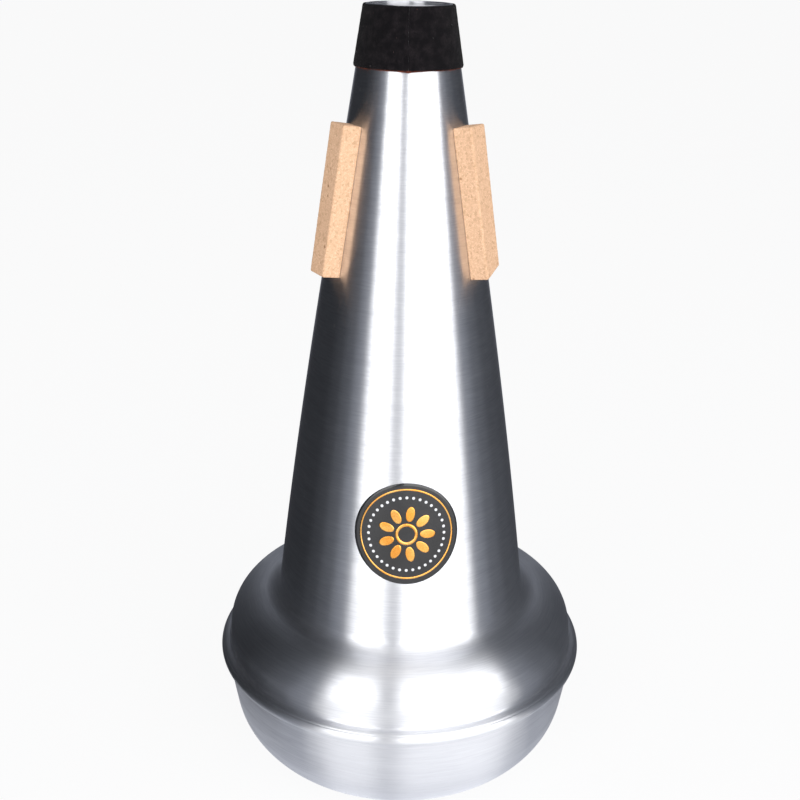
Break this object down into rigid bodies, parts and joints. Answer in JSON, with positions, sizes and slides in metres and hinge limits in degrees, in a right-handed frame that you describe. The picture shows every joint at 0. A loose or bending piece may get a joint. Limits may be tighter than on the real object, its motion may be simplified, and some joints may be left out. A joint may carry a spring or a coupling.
{
  "type": "trombone straight mute",
  "caption": "Spun aluminium straight mute for a trombone bell: a hollow cone on a crimped end cap, with cork grip strips, a soft mouth sleeve and a round label.",
  "frame": {"origin": "centre of the flat face of the end cap that the mute stands on", "axes": "+Z from the flat end cap up the turning axis to the open narrow mouth; -Y is the front, with the label; +X to the right seen from the front"},
  "size_m": [0.1254, 0.1254, 0.251],
  "materials": {
    "aluminium_body": "satin spun aluminium with fine turning lines",
    "aluminium_cap": "satin spun aluminium with fine turning lines",
    "neoprene": "matte black, faintly fuzzy",
    "cork": "sanded agglomerated cork",
    "label": "glossy black film with a plain foil ring"
  },
  "bodies": {
    "root": {"cone_body": "aluminium_body", "end_cap": "aluminium_cap", "bumper_sleeve": "neoprene", "cork_strip_left": "cork", "cork_strip_right": "cork", "cork_strip_back": "cork", "label_disc": "label"}
  },
  "joints": []
}
